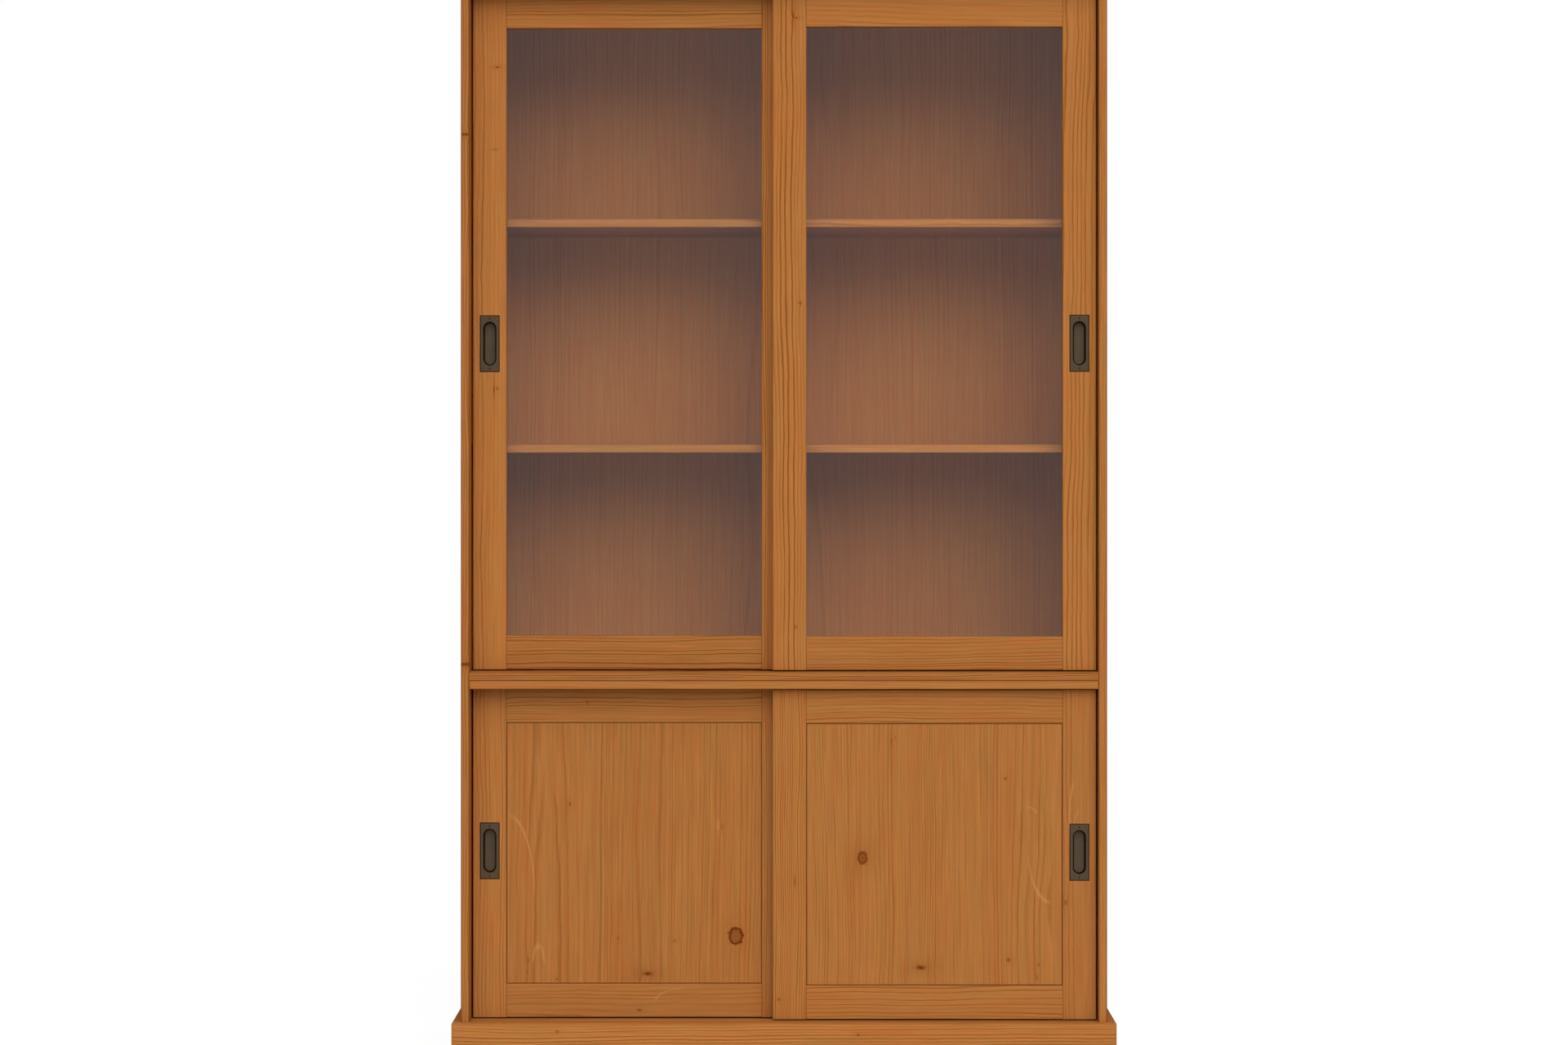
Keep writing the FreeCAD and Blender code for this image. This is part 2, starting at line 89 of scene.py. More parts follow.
# ---- Sizes and colours ------------------------------------------------------
class PineSettings(bpy.types.PropertyGroup):
    """The stain and the grain of the pine."""
    spring: colour("Spring wood, the wide pale part of each ring", linear(167, 111, 58))
    summer: colour("Summer wood, the dark line that ends each ring", linear(124, 67, 17))
    amber: colour("Amber, where the stain has taken deeper", linear(161, 97, 48))
    honey: colour("Honey, the yellower streaks", linear(165, 113, 55))
    knot: colour("Knot, its heart", linear(132, 72, 27))
    bark: colour("Bark, the rim and the darkest part of a knot", linear(88, 36, 8))
    resin: colour("Resin, the pale marks", linear(190, 136, 78))
    # Painted shade: the red-brown of light that has bounced twice in the gap between the doors
    # and the sides.
    shelter: colour("Shelter, the stain that closed doors keep from fading", linear(156, 66, 12))
    wander: length("Wander", "How far the rings stray over the length of a board", 0.015)
    ripple: length("Ripple", "Short waves in the rings", 0.0018)
    # The darker band along the edges is partly wear and partly painted shade.
    arris: length("Arris", "How far in from an edge the wood is darker from handling", 0.0032)
    # The dark line round a plate let into the wood is painted shadow.
    seat_shadow: length("Grime", "Width of the dark line round a plate let into the wood", 0.0013)
    streak: share("Streak", "Strength of the broad streaks along the grain", 0.24)
    fibre: share("Fibre", "Strength of the fine streaks along the grain", 0.32)
    blotch: share("Blotch", "Strength of the cloudy patches that stain leaves", 0.17)
    sheen: share("Sheen", "Roughness of the satin lacquer", 0.46)
    gloss: share("Gloss", "Strength of the lacquer's reflection", 0.03)


class PullSettings(bpy.types.PropertyGroup):
    """The flush pulls."""
    plate: colour("Plate, dark bronzed metal", linear(89, 75, 58))
    # On the plate's edge this colour is painted shade, the shadow line round the plate; on the
    # pocket's walls it is the metal's own patina.
    recess: colour("Recess, the darker patina on the walls and edges", linear(32, 15, 7))
    sheet: length("Sheet", "Thickness of the pressed metal", 0.001)
    corner: length("Corner", "Radius of the plate's corners", 0.0020)
    edge: length("Edge", "Rounding of the plate's edge", 0.0015)
    skirt: length("Skirt", "Depth to which the plate's edge is turned back", 0.0019)
    lip: length("Lip", "Rounding of the pocket's mouth", 0.0012)
    foot: length("Foot", "Rounding round the pocket's floor", 0.0034)
    pocket_width: length("Pocket width", "Width of the finger pocket", 0.024)
    pocket_height: length("Pocket height", "Height of the finger pocket", 0.082)
    pocket_depth: length("Pocket depth", "Plate's face to the pocket's floor", 0.0127)
    draft: length("Draft", "How far the pocket's wall leans in on its way down", 0.0008)
    screw: length("Screw", "Radius of the screw heads", 0.0021)


class FixingSettings(bpy.types.PropertyGroup):
    """The nails that hold the back."""
    head: length("Head", "Radius of a nail's head", 0.0022)
    thick: length("Thickness", "Thickness of a nail's head", 0.0006)
    pitch: length("Pitch", "Spacing of the nails round the back", 0.15)


class GlassSettings(bpy.types.PropertyGroup):
    """The panes."""
    tint: colour("Tint, the faint green of sheet glass", (0.97, 0.985, 0.975))
    bloom: colour("Bloom, the cool cast of its reflection", (0.54, 0.66, 0.80))
    bend: share("Index", "Index of refraction", 1.5)


class StageSettings(bpy.types.PropertyGroup):
    """The camera, the lamps and the floor."""
    distance: length("Distance", "Camera to the front edges of the carcass", 6.67)
    eye: length("Eye height", "Camera above the floor", 1.119)
    lens: share("Lens", "Focal length for a 36 mm wide frame", 82.5)
    rise: FloatProperty(name="Rise", description="Vertical shift of the lens",
                        default=-80 / 1920)
    sun: share("Lamps", "Strength of the two wide soft lamps together", 2.94)
    right: share("Right", "The right-hand lamp's share of that strength", 0.71)
    spread: angle("Spread", "Apparent width of each lamp", 60)
    height: angle("Height", "Lamps' angle above the floor", 38)
    turn: angle("Turn", "Lamps' angle to either side of the front", 24)
    fill: share("Fill", "Light that comes evenly from all round", 0.41)
    floor: colour("Floor, plain and pale", (0.68, 0.68, 0.68))
    floor_show: share("Floor show", "Share of the floor's own shading that is seen", 0.22)
    glow: share("Glow", "Brightness that the floor shows to the camera", 1.15)


# ---- Shader maths -----------------------------------------------------------
class Value:
    """A socket whose number varies over a surface; arithmetic adds Math nodes."""

    def __init__(self, finish, socket):
        self.finish = finish
        self.socket = socket

    def maths(self, operation, *values):
        return self.finish.add("ShaderNodeMath", {"operation": operation}, values)

    def __add__(self, other):
        return self.maths("ADD", self, other)

    def __sub__(self, other):
        return self.maths("SUBTRACT", self, other)

    def __rsub__(self, other):
        return self.maths("SUBTRACT", other, self)

    def __mul__(self, other):
        return self.maths("MULTIPLY", self, other)

    def __truediv__(self, other):
        return self.maths("DIVIDE", self, other)

    def __neg__(self):
        return self.maths("MULTIPLY", self, -1)

    def __gt__(self, other):
        return self.maths("GREATER_THAN", self, other)

    __radd__ = __add__
    __rmul__ = __mul__

    def root(self):
        return self.maths("SQRT", self)

    def whole(self):
        return self.maths("FLOOR", self)

    def rest(self):
        return self.maths("FRACT", self)

    def wave(self):
        return self.maths("SINE", self)

    def size(self):
        """This without its sign."""
        return self.maths("ABSOLUTE", self)

    def bell(self):
        """e to the minus this."""
        return self.maths("EXPONENT", -self)

    def most(self, other):
        return self.maths("MAXIMUM", self, other)

    def least(self, other):
        return self.maths("MINIMUM", self, other)

    def step(self, start, end):
        """0 up to start, 1 from end on, smooth between; falls if end is lower."""
        low, high = min(start, end), max(start, end)
        first, last = (0, 1) if start < end else (1, 0)
        return self.finish.add("ShaderNodeMapRange", {"interpolation_type": "SMOOTHSTEP"},
                               [self, low, high, first, last])


class Finish:
    """The nodes of a new material, or of the world that is handed in."""

    def __init__(self, name, world=None):
        self.owner = world or bpy.data.materials.new(name)
        self.owner.use_nodes = True
        self.nodes = self.owner.node_tree.nodes
        self.links = self.owner.node_tree.links
        self.nodes.clear()

    def add(self, kind, settings=None, inputs=(), output=0):
        """Any node: its settings first, then the values or links of its sockets."""
        node = self.nodes.new(kind)
        settings = dict(settings or {})
        stops = settings.pop("stops", None)
        for key, value in settings.items():
            setattr(node, key, value)
        if stops:
            ramp = node.color_ramp
            ramp.interpolation = "CONSTANT"
            while len(ramp.elements) < len(stops):
                ramp.elements.new(1.0)
            for element, (place, tone) in zip(ramp.elements, stops):
                element.position = place
                element.color = (*tone, 1.0)
        pairs = inputs.items() if isinstance(inputs, dict) else enumerate(inputs)
        for key, value in pairs:
            if isinstance(value, Value):
                self.links.new(value.socket, node.inputs[key])
            elif node.inputs[key].type == "RGBA":
                node.inputs[key].default_value = (*value, 1.0)
            else:
                node.inputs[key].default_value = value
        return Value(self, node.outputs[output]) if len(node.outputs) else None

    def place(self):
        """The piece's own coordinates as three numbers, in metres."""
        point = self.add("ShaderNodeTexCoord", output=3)
        split = self.add("ShaderNodeSeparateXYZ", {}, [point])
        outputs = split.socket.node.outputs
        return [Value(self, outputs[n]) for n in range(3)]

    def parts(self, value):
        """The three numbers in a colour or a vector."""
        split = self.add("ShaderNodeSeparateColor", {}, [value])
        return [Value(self, socket) for socket in split.socket.node.outputs[:3]]

    def vector(self, x, y, z):
        return self.add("ShaderNodeCombineXYZ", {}, [x, y, z])

    def noise(self, x, y, z, detail=2.0, rough=0.5, output=0):
        """Smooth noise from 0 to 1; output 1 has three of them, as a colour."""
        return self.add("ShaderNodeTexNoise", {}, {"Vector": self.vector(x, y, z),
                                                   "Scale": 1.0, "Detail": detail,
                                                   "Roughness": rough}, output)

    def bump(self, strength, distance, height):
        """Humps and hollows too small to be modelled."""
        return self.add("ShaderNodeBump", {}, {"Strength": strength, "Distance": distance,
                                               "Height": height})

    def dice(self, number):
        """A random number from 0 to 1 for each whole number."""
        return self.add("ShaderNodeTexWhiteNoise", {"noise_dimensions": "1D"},
                        {"W": number})

    def blend(self, amount, first, second, how="MIX"):
        """Two colours mixed."""
        return self.add("ShaderNodeMix", {"data_type": "RGBA", "blend_type": how},
                        {0: amount, 6: first, 7: second}, output=2)

    def shader(self, **sockets):
        """The surface shader: names are its sockets', with spaces as underscores."""
        inputs = {name.replace("_", " "): value for name, value in sockets.items()}
        return self.add("ShaderNodeBsdfPrincipled", {}, inputs)

    def rays(self, *kinds):
        """1 on light paths of these kinds, 0 on others."""
        outputs = self.add("ShaderNodeLightPath").socket.node.outputs
        return reduce(Value.most, [Value(self, outputs["Is %s Ray" % k]) for k in kinds])

    def finished(self, surface):
        kind = "World" if isinstance(self.owner, bpy.types.World) else "Material"
        self.add("ShaderNodeOutput" + kind, {"target": "ALL"}, {"Surface": surface})
        return self.owner


def dress(node_names, material):
    """Gives CAD pieces their finish."""
    for name in node_names:
        piece = NODES[name]
        if not piece.material_slots:
            piece.data.materials.append(material)
        for slot in piece.material_slots:
            slot.material = material


# ---- Pine -------------------------------------------------------------------
RING_TO_RAMP = 50           # brings a ring's width into the 0 to 1 that a ramp holds
ROUND_KNOT = (0.7, 2)       # height to width of a knot that is cut square across
FACE_SKIN = 0.0004          # a point this near to a face counts as on it
GAP_SHADE_FRONT = (-0.165, -0.145)    # Y over which the painted shade in the gap beside the doors begins
GAP_SHADE_BACK = (-0.110, -0.090)     # and Y over which it ends


def stave_marks(finish, staves, share_across):
    """The heart's shift, the ring's width and the tone of the stave at a place."""
    stops = [(start, (0.5 + shift, ring * RING_TO_RAMP, 0.5 + tone))
             for start, shift, ring, tone in staves]
    ramp = finish.add("ShaderNodeValToRGB", {"stops": stops}, [share_across])
    shift, ring, tone = finish.parts(ramp)
    return shift - 0.5, ring * (1 / RING_TO_RAMP), tone - 0.5


def knot_marks(knots, across, along, smudge):
    """How far each knot pushes the rings out, and the knots' heart, rim and halo."""
    pushes, hearts, rims, halos = [], [], [], []
    for at_across, at_along, half_width, half_height, shade, *rim in knots:
        aside = across - at_across
        away = (along - at_along) * (half_width / half_height)
        clean = (aside * aside + away * away).root() / half_width
        far = clean + smudge * 0.7
        pushes.append((far * far * 0.2).bell() * min(0.0035, half_width * 0.5))
        if rim:
            heart = far.step(1.05, 0.90) * shade
            circles = (clean * (half_width * 1300) + smudge * 2).wave().step(0.0, 1.0)
            dark = far.step(0.55, 0.78) * far.step(1.12, 0.98) * rim[0]
            dark = dark.most(circles * heart * 0.5)
        else:
            square_cut = ROUND_KNOT[0] < half_height / half_width < ROUND_KNOT[1]
            heart = far.step(1.1, 0.75 if square_cut else 0.3) * shade
            dark = far.step(0.75, 0.1) * (shade * (0.3 if square_cut else 0.8))
        hearts.append(heart)
        rims.append(dark)
        halos.append((far * 0.6).bell() * (0.5 * shade))
    return pushes, [reduce(Value.most, marks) for marks in (hearts, rims, halos)]


def resin_arc(swirl, across, along):
    """1 on a pale arc of resin, falling to 0 beside it and past its ends."""
    at_across, at_along, half_width, half_height, thick, at_side, at_end = swirl
    aside = (across - at_across) / half_width
    away = (along - at_along) / half_height
    far = (aside * aside + away * away).root() - 1.0
    arc = (far * far * (half_width / thick) ** 2).bell()
    for part, end in ((aside, at_side), (away, at_end)):
        if end:
            arc = arc * (part * end).step(-0.05, 0.25)
    return arc


def arris_distance(across, through, along, size):
    """Distance from the nearest arris: the middle one of those from the box's faces."""
    inner = [extent / 2 - value.size()
             for extent, value in zip(size, (across, through, along))]
    return inner[0].least(inner[1]).most(inner[0].most(inner[1]).least(inner[2]))


def joint_round(place, axes, node, width):
    """1 in the joint round a node that is let in, 0 from width away on."""
    low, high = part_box(node)
    beyond = [(place[i] - (low[i] + high[i]) / 2).size() - (high[i] - low[i]) / 2
              for i in axes]
    return beyond[0].most(beyond[1]).step(width, width * 0.2)


def titled(node_name):
    """The finish's name for one piece of pine."""
    return "Pine " + node_name.replace("_", " ")


def pine(name, node_names, axes, pith, lean, ring=0.005, seed=0.0, depth=1.0, tone=0.0,
         knots=(), staves=(), swirls=(), gloss=None, edge_wear_and_shade=1.0, inlay=None, jamb=0):
    """Stained pine sawn from a log.

    axes: which of x, y and z run across the face, through it and along the grain.
    pith: the log's heart, across and through, from the middle of the piece's box.
    lean: how far the heart drifts sideways for each unit along the grain.
    ring: the width of a year's ring, where there are no staves.
    seed: sets this board's grain apart from the others'.
    depth: strength of the dark lines.
    tone: how much lighter the board is than the setting's colours.
    knots: (across, along, half width, half height, darkness), from the middle of the box,
        and the darkness of the rim where a knot shows one.
    staves: (share of the width, heart's shift, ring, tone) where boards are glued up.
    swirls: pale arcs of resin, (across, along, half width, half height, line's width,
        side, end), where side and end pick the right or left and upper or lower part.
    gloss: strength of the reflection where it isn't the setting's.
    edge_wear_and_shade: how far the arrises have darkened, by handling wear and by painted
    shade.
    inlay: the node that is let in, with a dark line of painted shadow in the joint round it.
    jamb: 1 or -1 for the face beside the doors' outer edges, seen along the through axis, which
    gets painted gap shade.
    """
    settings = bpy.context.scene.bookcase_pine
    finish = Finish(name)
    low = Vector([min(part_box(n)[0][i] for n in node_names) for i in range(3)])
    high = Vector([max(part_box(n)[1][i] for n in node_names) for i in range(3)])
    order = ["xyz".index(letter) for letter in axes]
    size = [high[i] - low[i] for i in order]
    place = finish.place()
    across, through, along = [place[i] - (low[i] + high[i]) / 2 for i in order]

    heart_shift, spacing, stave_tone = 0.0, ring, 0.0
    if staves:
        heart_shift, spacing, stave_tone = stave_marks(finish, staves,
                                                       across / size[0] + 0.5)

    # Rings round a heart that leans and wanders; they bend round the knots.
    wander = finish.noise(across * 8 + seed, through * 7 + seed * 1.7,
                          along * 2.6 + seed * 0.6, 1.0, 0.4, output=1)
    sway = [part - 0.5 for part in finish.parts(wander)]
    side = across - pith[0] - heart_shift - along * lean[0] + sway[0] * settings.wander
    rise = through - pith[1] - along * lean[1] + sway[1] * settings.wander
    radius = (side * side + rise * rise).root()
    slant = (side * side / (radius * radius)).step(0.0, 0.10)
    ripple = finish.noise(across * 40 + seed, through * 40, along * 17 + seed, 2.0) - 0.5
    radius = radius + ripple * (settings.ripple * 2)
    if knots:
        smudge = finish.noise(across * 230 + seed, through * 90, along * 190, 2.0) - 0.5
        pushes, (heart, rim, halo) = knot_marks(knots, across, along, smudge)
        for push in pushes:
            radius = radius + push

    # Good and bad years: the spacing, the darkness and the depth of the lines vary.
    years = finish.noise(radius * 45, 0.0, seed, 1.0) * 2.6
    count = radius / spacing + years + sway[2] * 1.6
    stage = count.rest()
    chance = finish.dice(count.whole() + seed)
    fade = finish.noise(across * 30 - seed, through * 25, along * 7 + seed, 2.0)
    line = stage.step(0.50, 0.95) * stage.step(1.0, 0.965) * slant
    line = line * (0.2 + 0.8 * chance * chance) * (fade * 2.6 - 0.1).most(0.0) * depth
    line = line.least(0.2 + 0.45 * depth)

    # The arrises are darker: partly handling wear, partly painted shade for the gaps and rounded
    # edges beside them.
    arris = arris_distance(across, through, along, size)
    worn_and_shaded_edge = arris.step(settings.arris, 0.0) * (0.4 + fade * 0.5) * edge_wear_and_shade

    # Streaks, fibres and clouds of stain, each longer along the grain than across it.
    band = finish.noise(across * 170 + seed, through * 90, along * 2.4, 2.0, 0.55) - 0.5
    fine = finish.noise(across * 400 + seed, through * 300, along * 8, 3.0, 0.7) - 0.5
    warm = finish.noise(across * 70 - seed, through * 50, along * 1.6 + seed, 2.0)
    cloud = finish.noise(across * 12 + seed * 2, through * 11, along * 7 - seed, 3.0) - 0.5
    haze = finish.noise(across * 38 - seed, through * 30, along * 13 + seed, 2.0) - 0.5

    amber = (cloud * 1.3 + 0.45 + haze * 0.7 + band * 2.0).least(1.0).most(0.0)
    body = finish.blend(amber, settings.spring, settings.amber)
    body = finish.blend(warm.step(0.5, 0.75) * 0.5, body, settings.honey)
    # The ring lines, and the wear and painted shade along the arrises, take the summer colour.
    body = finish.blend(line.most(worn_and_shaded_edge), body, settings.summer)
    for swirl in swirls:
        arc = resin_arc(swirl, across + sway[1] * 0.006, along)
        body = finish.blend(arc * fade * 0.8, body, settings.resin)
    level = 1.0 + tone + stave_tone + cloud * settings.blotch + haze * settings.blotch * 0.7 \
        + band * settings.streak + fine * settings.fibre * 2.0
    body = finish.blend(1.0, body, finish.vector(level, level, level), "MULTIPLY")
    if knots:
        body = finish.blend(halo.least(0.6), body, settings.summer)
        body = finish.blend(heart.least(1.0), body, settings.knot)
        body = finish.blend(rim.least(1.0), body, settings.bark)
    # Painted shade on the sides' inner faces in the gap beside the doors, redder as the light
    # there has bounced twice.
    if jamb:
        on_face = through * jamb > size[1] / 2 - FACE_SKIN
        in_gap_shade = on_face * place[1].step(*GAP_SHADE_FRONT) \
            * place[1].step(*reversed(GAP_SHADE_BACK))
        body = finish.blend(in_gap_shade * 0.5, body, settings.shelter)
    # Painted shadow: a dark line in the wood round the plate, where the seat gap's shadow falls.
    if inlay:
        seat_shadow_line = joint_round(place, (order[0], order[2]), inlay, settings.seat_shadow)
        body = finish.blend(seat_shadow_line * 0.75, body, settings.bark)

    rough = settings.sheen + line * 0.05 - fine * 0.10 + cloud * 0.05
    relief = fine * 0.5 + band * 0.3 - line * 0.5
    surface = finish.shader(Base_Color=body, Roughness=rough,
                            Normal=finish.bump(0.16, 0.0004, relief),
                            Specular_IOR_Level=settings.gloss if gloss is None else gloss)
    dress(node_names, finish.finished(surface))


class BOOKCASE_OT_carcass(bpy.types.Operator):
    """Stains the fixed boards: sides, running boards, top, dividers, shelves, plinth"""
    bl_idname = "bookcase.carcass"
    bl_label = "Stain the carcass"

    def execute(self, context):
        pine("Pine side left", ["side_panel_left"], "yxz", pith=(-0.13, 0.10),
             lean=(0.003, -0.002), ring=0.0042, seed=3.1, tone=-0.06, edge_wear_and_shade=1.6, jamb=1,
             knots=((-0.190, 0.716, 0.006, 0.004, 0.7), (-0.190, -0.268, 0.009, 0.006, 0.8),
                    (0.05, 0.35, 0.009, 0.011, 0.8, 0.7), (-0.09, -0.61, 0.007, 0.009, 0.8)))
        pine("Pine side right", ["side_panel_right"], "yxz", pith=(-0.12, -0.11),
             lean=(-0.003, 0.003), ring=0.0045, seed=7.7, edge_wear_and_shade=1.6, jamb=-1,
             knots=((0.07, 0.5, 0.008, 0.010, 0.8), (-0.05, -0.3, 0.010, 0.012, 0.8, 0.7)))
        pine("Pine bottom board", ["bottom_board"], "yzx", pith=(0.02, -0.06),
             lean=(0.004, 0.0), ring=0.0048, seed=12.4, depth=0.8)
        pine("Pine middle board", ["mid_board"], "zyx", pith=(-0.10, -0.14),
             lean=(0.003, 0.004), ring=0.0046, seed=15.9, depth=1.4, tone=-0.10)
        pine("Pine lower guide board", ["lower_guide_board"], "zyx", pith=(0.11, 0.02),
             lean=(0.002, -0.004), ring=0.0044, seed=19.2, depth=1.3, tone=0.02)
        pine("Pine upper guide board", ["upper_guide_board"], "zyx", pith=(-0.10, 0.03),
             lean=(0.003, -0.004), ring=0.0044, seed=20.4, depth=1.3)
        pine("Pine top board", ["top_board"], "yzx", pith=(-0.02, -0.09), lean=(0.008, 0.002),
             ring=0.0048, seed=22.3, depth=0.9,
             knots=((0.08, 0.21, 0.008, 0.009, 0.8), (-0.06, -0.33, 0.007, 0.007, 0.8)))
        for count, name in enumerate(("lower_divider", "upper_divider")):
            pine(titled(name), [name], "yxz", pith=(0.02, 0.05 - 0.01 * count),
                 lean=(0.003, 0.0), ring=0.0044, seed=25.5 + count, depth=0.8)
        # The right-hand shelves are painted lighter: painted light lifting the shade behind the
        # front doors.
        for count, name in enumerate(sorted(n for n in NODES if "_shelf_" in n)):
            pine(titled(name), [name], "yzx", pith=(0.03 - 0.01 * count, -0.05),
                 lean=(0.004, 0.0), ring=0.0046, seed=31.0 + 5.3 * count, depth=0.8,
                 tone=0.12 if "right" in name else 0.0)
        pine("Pine battens", ["shelf_battens"], "zxy", pith=(0.0, 0.08), lean=(0.0, 0.01),
             ring=0.004, seed=64.0, depth=0.8)
        pine("Pine plinth front", ["plinth_front"], "zyx", pith=(-0.105, 0.055),
             lean=(0.005, 0.004), ring=0.0050, seed=71.2, tone=0.08,
             knots=((0.014, 0.137, 0.0018, 0.004, 0.9), (0.020, -0.42, 0.003, 0.004, 0.5)))
        pine("Pine plinth sides", ["plinth_left", "plinth_right"], "zxy", pith=(0.01, 0.70),
             lean=(0.01, 0.03), ring=0.0052, seed=77.7, gloss=0.0)
        return {"FINISHED"}


class BOOKCASE_OT_back(bpy.types.Operator):
    """Stains the thin back sheet"""
    bl_idname = "bookcase.back"
    bl_label = "Stain the back"

    def execute(self, context):
        pine("Pine back", ["back_panel"], "xyz", pith=(0.0, 0.25), lean=(0.0, 0.01),
             ring=0.0075, seed=83.0, depth=0.30, tone=0.27, edge_wear_and_shade=0.0)
        return {"FINISHED"}


class BOOKCASE_OT_frames(bpy.types.Operator):
    """Stains the stiles and rails of the four doors"""
    bl_idname = "bookcase.frames"
    bl_label = "Stain the door frames"

    def execute(self, context):
        # Node, pith, lean, ring, depth, tone and the knots, staves and swirls that it has.
        stiles = (
            ("upper_left_door_left_stile", (-0.095, 0.050), (0.001, 0.002), 0.0058, 0.8, 0.07,
             ((0.014, 0.495, 0.005, 0.0015, 1.0), (0.008, -0.108, 0.0013, 0.012, 1.0),
              (0.014, -0.106, 0.003, 0.003, 0.6), (0.010, 0.341, 0.006, 0.0012, 0.5))),
            ("upper_left_door_right_stile", (0.110, 0.060), (-0.002, 0.002), 0.0038, 1.5,
             0.05),
            ("upper_right_door_left_stile", (0.085, 0.055), (-0.005, 0.002), 0.0060, 1.3,
             0.03,
             ((0.007, 0.588, 0.0018, 0.010, 0.9), (0.013, 0.584, 0.004, 0.002, 0.8),
              (0.020, 0.053, 0.003, 0.003, 0.7), (0.012, -0.55, 0.002, 0.003, 0.6))),
            ("upper_right_door_right_stile", (-0.070, 0.055), (0.009, -0.003), 0.0064, 0.9,
             0.05),
            ("lower_left_door_left_stile", (-0.100, 0.060), (0.003, 0.003), 0.0052, 0.55,
             0.02),
            ("lower_left_door_right_stile", (0.130, 0.06), (0.001, 0.0), 0.0034, 1.1, 0.0),
            ("lower_right_door_left_stile", (0.120, 0.07), (0.002, 0.0), 0.0036, 1.1, 0.0,
             ((0.010, -0.050, 0.0012, 0.014, 0.8), (-0.020, -0.270, 0.003, 0.003, 0.7))),
            ("lower_right_door_right_stile", (-0.075, 0.050), (0.006, 0.004), 0.0056, 0.5,
             -0.04, ((-0.026, -0.089, 0.004, 0.006, 0.5),), (),
             ((-0.010, 0.060, 0.010, 0.070, 0.0012, -1, 0),
              (-0.002, 0.030, 0.010, 0.050, 0.0010, -1, 0))),
        )
        for count, (name, pith, lean, ring, depth, tone, *marks) in enumerate(stiles):
            door, side = name.rsplit("_", 2)[:2]
            pine(titled(name), [name], "xyz", pith, lean, ring, 100 + 6.1 * count, depth,
                 tone, *marks, edge_wear_and_shade=0.25, inlay=door + "_pull" if side in door else None)
        rails = (
            ("upper_left_door_top_rail", (-0.090, 0.050), (0.014, 0.004), 0.0056, 1.1, 0.05),
            ("upper_left_door_bottom_rail", (-0.095, 0.045), (0.012, 0.006), 0.0058, 1.1,
             -0.08),
            ("upper_right_door_top_rail", (0.055, 0.045), (-0.030, 0.006), 0.0072, 0.9, 0.06),
            ("upper_right_door_bottom_rail", (0.120, 0.070), (0.004, 0.004), 0.0056, 1.0,
             -0.05),
            ("lower_left_door_top_rail", (0.080, 0.080), (0.003, 0.006), 0.0042, 1.1, -0.04,
             ((0.006, -0.087, 0.002, 0.002, 0.8),)),
            ("lower_left_door_bottom_rail", (-0.060, 0.060), (0.012, 0.008), 0.0060, 0.55,
             -0.05, ((-0.018, 0.010, 0.003, 0.007, 0.6),), (),
             ((-0.002, 0.095, 0.025, 0.055, 0.0014, 1, -1),)),
            ("lower_right_door_top_rail", (-0.130, 0.070), (0.002, 0.003), 0.0052, 0.9,
             -0.04),
            ("lower_right_door_bottom_rail", (0.090, 0.050), (0.005, 0.004), 0.0056, 0.8,
             0.01),
        )
        for count, (name, pith, lean, ring, depth, tone, *marks) in enumerate(rails):
            pine(titled(name), [name], "zyx", pith, lean, ring, 160 + 4.7 * count, depth,
                 tone, *marks, edge_wear_and_shade=0.05)
        return {"FINISHED"}


class BOOKCASE_OT_panels(bpy.types.Operator):
    """Stains the two knotty panels, each glued up from staves"""
    bl_idname = "bookcase.panels"
    bl_label = "Stain the door panels"

    def execute(self, context):
        pine("Pine panel left", ["lower_left_door_panel"], "xyz", pith=(-0.16, 0.040),
             lean=(0.003, 0.012), seed=211.0, depth=0.46, tone=-0.07, edge_wear_and_shade=0.0,
             knots=((0.190, -0.155, 0.0138, 0.0165, 0.7, 0.8),
                    (0.025, -0.225, 0.0130, 0.0055, 1.0), (0.163, 0.050, 0.0050, 0.0060, 0.2),
                    (-0.120, 0.092, 0.0014, 0.0045, 1.0),
                    (-0.198, -0.200, 0.0040, 0.0080, 0.25),
                    (-0.200, -0.222, 0.0030, 0.0070, 0.25),
                    (-0.030, -0.159, 0.002, 0.003, 0.5), (0.076, -0.164, 0.0030, 0.0025, 0.5),
                    (-0.144, -0.235, 0.002, 0.002, 0.8)),
             staves=((0.0, 0.0, 0.0090, 0.0), (0.36, 0.20, 0.0068, -0.01),
                     (0.485, 0.27, 0.0096, -0.03), (0.615, 0.38, 0.0064, 0.0),
                     (0.80, 0.44, 0.0056, 0.01)),
             swirls=((-0.235, -0.090, 0.050, 0.160, 0.0012, 1, 1),
                     (-0.178, -0.205, 0.0105, 0.032, 0.0018, 0, 1),
                     (0.156, 0.052, 0.0012, 0.0045, 0.0016, 0, 0)))
        pine("Pine panel right", ["lower_right_door_panel"], "xyz", pith=(0.10, 0.050),
             lean=(-0.003, 0.010), seed=236.0, depth=0.52, tone=-0.04, edge_wear_and_shade=0.0,
             knots=((-0.134, -0.006, 0.0092, 0.0125, 1.0, 0.5),
                    (-0.026, -0.210, 0.0130, 0.006, 1.0),
                    (0.138, -0.196, 0.0035, 0.0045, 0.8), (0.132, 0.142, 0.0018, 0.0022, 1.0),
                    (0.194, -0.205, 0.0030, 0.0065, 0.35),
                    (0.192, -0.229, 0.0028, 0.007, 0.3), (-0.080, 0.212, 0.0016, 0.0110, 0.6),
                    (-0.073, 0.217, 0.0012, 0.006, 0.5)),
             staves=((0.0, -0.44, 0.0052, 0.0), (0.19, -0.40, 0.0080, 0.01),
                     (0.38, -0.46, 0.0048, -0.01), (0.57, -0.30, 0.0064, 0.0),
                     (0.78, 0.13, 0.0095, 0.01)),
             swirls=((0.221, 0.010, 0.047, 0.100, 0.0016, -1, -1),
                     (0.170, 0.075, 0.020, 0.014, 0.0018, 1, 1)))
        return {"FINISHED"}


